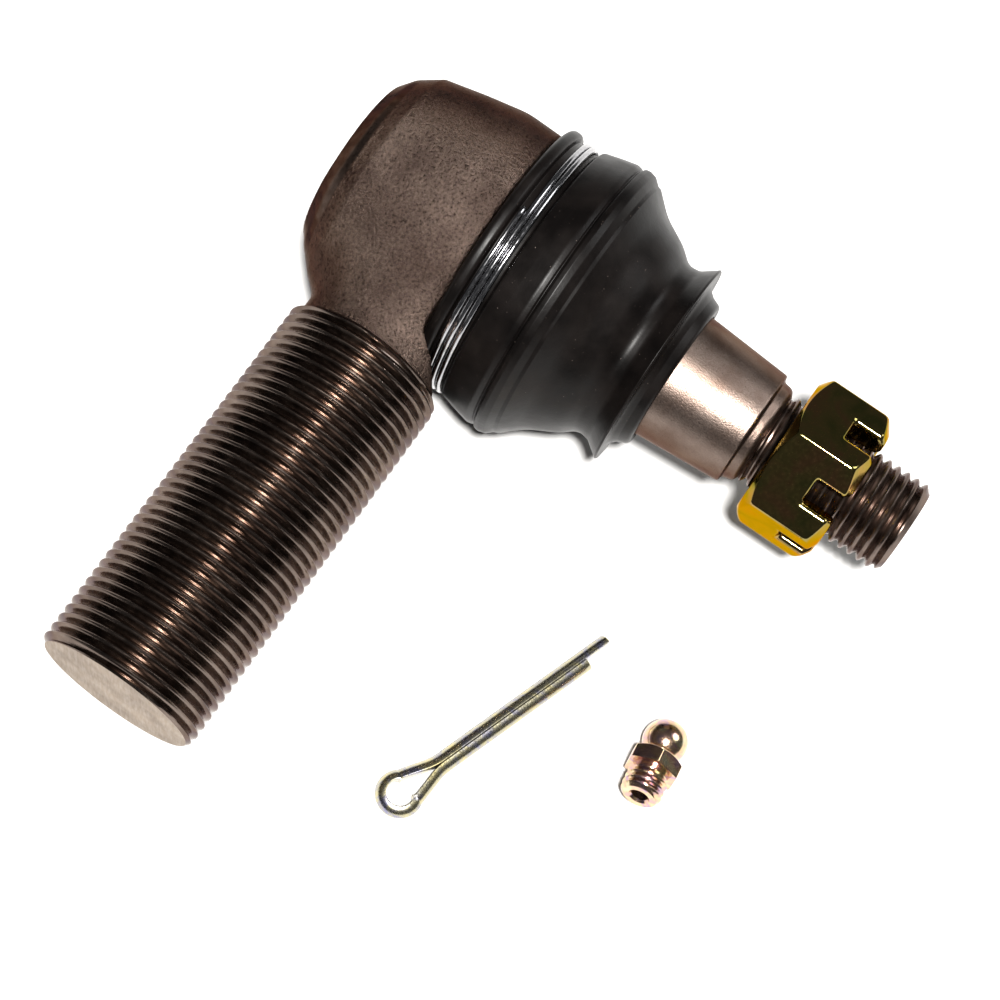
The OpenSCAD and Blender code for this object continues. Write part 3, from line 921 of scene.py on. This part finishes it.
def tube(name, path, radius, around=16, end_round=0.3):
    """Round wire along a path of points, with rounded ends."""
    path = np.array(path, float)
    ahead = np.gradient(path, axis=0)
    ahead /= np.linalg.norm(ahead, axis=1)[:, None]
    side = np.cross(ahead, (0, 1, 0))
    side /= np.linalg.norm(side, axis=1)[:, None]
    up = np.cross(side, ahead)
    angles = 2 * np.pi * np.arange(around) / around
    rings = []
    for i in range(len(path)):
        ring = np.outer(np.cos(angles), side[i]) + np.outer(np.sin(angles), up[i])
        rings.append(path[i] + ring * radius)
    end_size = 0.7
    caps = [path[end] + (rings[end] - path[end]) * end_size + ahead[end] * outward * radius * end_round
            for end, outward in ((0, -1), (-1, 1))]
    rings = [caps[0], *rings, caps[1]]
    return solid(name, np.concatenate(rings), ring_faces(len(rings), around), 50)


def make_ring():
    """Rather more than two and a half close turns of wire, with rounded ends."""
    wire_r, turns, lead, steps_per_turn = 0.46, 2.6, 0.95, 120
    first_y, r = GROOVE_START + 0.2 + wire_r, GROOVE_R + 0.02 + wire_r
    steps = int(turns * steps_per_turn)
    path = []
    for i in range(steps + 1):
        a = 2 * math.pi * turns * i / steps
        path.append((r * math.sin(a), first_y + lead * turns * i / steps, r * math.cos(a)))
    obj = tube("boot_ring_wire", path, wire_r)
    place_piece(obj, "boot_ring", "seat", ring_material())


def pin_path():
    """Inner face of the pin's wire, from the long tip round the eye to the short tip, as (along, across)."""
    gap, shoulder = 0.03, math.radians(57)
    entry = (EYE_R * math.cos(shoulder), EYE_R * math.sin(shoulder))
    corner = rounded([(LONG_LEG, gap), (EYE_NECK, gap, 9), (entry[0] + 0.2, entry[1] - 0.1, 0.8), (0, 0)], 8)
    upper = [p for p in corner if p[0] > entry[0] and p[1] > 0]
    eye = arc((0, 0), EYE_R, math.degrees(shoulder), 360 - math.degrees(shoulder), 40)
    lower = [(min(x, SHORT_LEG), -y) for x, y in upper[::-1]]
    return upper + eye + lower


def half_round(radius, around=14, edge=0.12):
    """Half-round wire section as (outward, up), with softened edges."""
    return rounded([(0, -radius, edge)] + arc((0, 0), radius, -84, 84, around) + [(0, radius, edge)], 2)


def make_cotter():
    """Split pin: one half-round wire bent to an eye, flat faces together."""
    spacing, end_length, end_size = 1.0, 0.16, 0.86
    path = np.array(pin_path())
    dense = [path[0]]
    for a, b in zip(path, path[1:]):
        n = max(1, int(np.linalg.norm(b - a) / spacing))
        dense += [a + (b - a) * (k + 1) / n for k in range(n)]
    path = np.array(dense)
    ahead = np.gradient(path, axis=0)
    ahead /= np.linalg.norm(ahead, axis=1)[:, None]
    out = np.stack([ahead[:, 1], -ahead[:, 0]], 1)
    out *= np.sign(out[0] @ np.array([0, 1]))
    section = np.array(half_round(COTTER_WIRE_R))
    middle = np.array([COTTER_WIRE_R * 0.45, 0])
    soft = middle + (section - middle) * end_size

    def ring(p, o, shape):
        return [(p[0] + o[0] * s, p[1] + o[1] * s, h) for s, h in shape]

    rings = [ring(path[0] - ahead[0] * end_length, out[0], soft)]
    rings += [ring(p, o, section) for p, o in zip(path, out)]
    rings += [ring(path[-1] + ahead[-1] * end_length, out[-1], soft)]
    verts = np.array(rings).reshape(-1, 3)
    obj = solid("cotter_pin_wire", verts, ring_faces(len(rings), len(section)), 40)
    lie = Matrix.Translation(Vector((*COTTER_EYE, FLOOR_Z + COTTER_WIRE_R)) * MM)
    obj.data.transform(lie @ Matrix.Rotation(COTTER_ANGLE, 4, "Z"))
    place_piece(obj, "cotter_pin", "cotter", pin_material())


def fitting_place():
    """Matrix that lays a piece drawn along +X, from the middle of the head, as the fitting lies."""
    return (Matrix.Translation(Vector(FITTING_POS) * MM) @ Matrix.Rotation(FITTING_TURN, 4, "Z")
            @ Matrix.Rotation(-FITTING_TILT, 4, "Y"))


def fitting_hex():
    """The fitting's hexagon, chamfered towards the head, as a skin along +Y."""
    corner_r = HEX_FLAT_R + 0.62
    hex_edge, end_edge = 0.07, 0.08
    reach, past, cell = 4.4, 0.4, 0.09
    shape = outline_distance(rounded([
        (0, HEX_START), (HEX_FLAT_R - 0.1, HEX_START, 0.1), (corner_r, HEX_START + 0.5, 0.1),
        (corner_r, HEX_END, 0.1), (0, HEX_END)]))

    def field(x, y, z):
        return blend_cut(hexagon(x, z, HEX_FLAT_R, hex_edge), -shape(np.hypot(x, z), y), end_edge)

    low, high = (-reach, HEX_START - past, -reach), (reach, HEX_END + past, reach)
    return skin("fitting_hex", field, low, high, cell)


def make_fitting():
    """Grease fitting: ball head with a check port, waist, hexagon and a bored thread."""
    waist_r, stem_r, port_r, bore_r, mouth_r = 2.05, 2.5, 0.75, 1.25, 1.6
    head = arc((0, 0), HEAD_R, -66, 44, 20)
    outline = [(0, head[0][1])] + head + rounded([
        (head[-1][0] - 0.15, head[-1][1] + 0.1), (waist_r, 2.45, 0.3), (waist_r, HEX_START + 0.3),
        (waist_r, HEX_END + 0.2), (0, HEX_END + 0.2)])
    obj = turned("grease_fitting_body", outline, 96)
    combine(obj, fitting_hex(), "UNION")
    stem = rounded([(0, HEX_END - 0.3), (stem_r, HEX_END - 0.3), (stem_r, HEX_END + 0.8), (0, HEX_END + 0.8)])
    combine(obj, turned("stem", stem, 64), "UNION")
    screw = thread("fitting_screw", FITTING_THREAD_R, FITTING_PITCH, 0.58, HEX_END + 0.35, FITTING_END,
                   chamfer=0.55, steps=72)
    combine(obj, turn_to_y(screw), "UNION")
    bore = rounded([
        (0, -HEAD_R - 1), (port_r, -HEAD_R - 1), (port_r, -HEAD_R + 1.4), (bore_r, -HEAD_R + 1.9),
        (bore_r, FITTING_END - 0.35), (mouth_r, FITTING_END + 0.05), (mouth_r, FITTING_END + 1),
        (0, FITTING_END + 1)])
    combine(obj, turned("fitting_bore", bore, 48), "DIFFERENCE")
    obj.data.transform(fitting_place() @ Matrix.Rotation(math.radians(-90), 4, "Z"))
    smooth(obj, 35)
    place_piece(obj, "grease_fitting", "fitting", fitting_material())


def paint_hidden():
    """Inner pieces keep their CAD shape and get their finish."""
    steel, plastic = spring_material(), bearing_material()
    finishes = {"cover_gasket": gasket_material(), "preload_spring": steel, "lower_bearing": plastic,
                "upper_bearing": plastic, "boot_support_ring": support_material(),
                "fitting_check_ball": ring_material(), "fitting_spring": steel}
    for name, material in finishes.items():
        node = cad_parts[name]
        node.data.materials.clear()
        node.data.materials.append(material)
        for face in node.data.polygons:
            face.material_index = 0


# ---------------------------------------------------------------- stage


def make_floor():
    corners = [(-FLOOR_HALF, -FLOOR_HALF), (FLOOR_HALF, -FLOOR_HALF), (FLOOR_HALF, FLOOR_HALF),
               (-FLOOR_HALF, FLOOR_HALF)]
    height = (FLOOR_Z - FLOOR_GAP) * MM
    mesh = bpy.data.meshes.new("floor")
    mesh.from_pydata([(x * MM, y * MM, height) for x, y in corners], [], [(0, 1, 2, 3)])
    floor = bpy.data.objects.new("floor", mesh)
    bpy.context.scene.collection.objects.link(floor)
    floor.data.materials.append(floor_material())


def make_camera():
    """Camera from its place and the directions to its right and up."""
    right = CAMERA_RIGHT.normalized()
    back = right.cross(CAMERA_UP).normalized()
    up = back.cross(right)
    data = bpy.data.cameras.new("camera")
    data.sensor_width, data.lens = SENSOR, LENS
    data.shift_x, data.shift_y = SHIFT
    data.clip_start, data.clip_end = 0.005, 10
    camera = bpy.data.objects.new("camera", data)
    bpy.context.scene.collection.objects.link(camera)
    turn = Matrix((right, up, back)).transposed().to_4x4()
    camera.matrix_world = Matrix.Translation(CAMERA_AT * MM) @ turn
    bpy.context.scene.camera = camera


def area_light(name, place, target, size, watts, colour=(1, 1, 1)):
    """Round light at a place, turned to a target."""
    data = bpy.data.lights.new(name, "AREA")
    data.shape, data.size = "DISK", size * MM
    data.energy, data.color = watts, colour
    light = bpy.data.objects.new(name, data)
    bpy.context.scene.collection.objects.link(light)
    at, to = Vector(place) * MM, Vector(target) * MM
    light.matrix_world = Matrix.Translation(at) @ (to - at).to_track_quat("-Z", "Y").to_matrix().to_4x4()


def make_light():
    world = bpy.data.worlds.new("studio")
    bpy.context.scene.world = world
    world.use_nodes = True
    sky = world.node_tree.nodes["Background"]
    sky.inputs["Color"].default_value = SKY_COLOUR
    sky.inputs["Strength"].default_value = SKY_STRENGTH
    area_light("key", KEY_AT, LIGHT_AIM, KEY_SIZE, KEY_WATTS, KEY_COLOUR)
    area_light("fill", FILL_AT, LIGHT_AIM, FILL_SIZE, FILL_WATTS)
    bpy.context.scene.view_settings.view_transform = "Standard"


make_forging()
make_cover()
make_stud()
make_nut()
make_boot()
make_ring()
make_cotter()
make_fitting()
paint_hidden()
make_floor()
make_camera()
make_light()

bpy.context.view_layer.update()
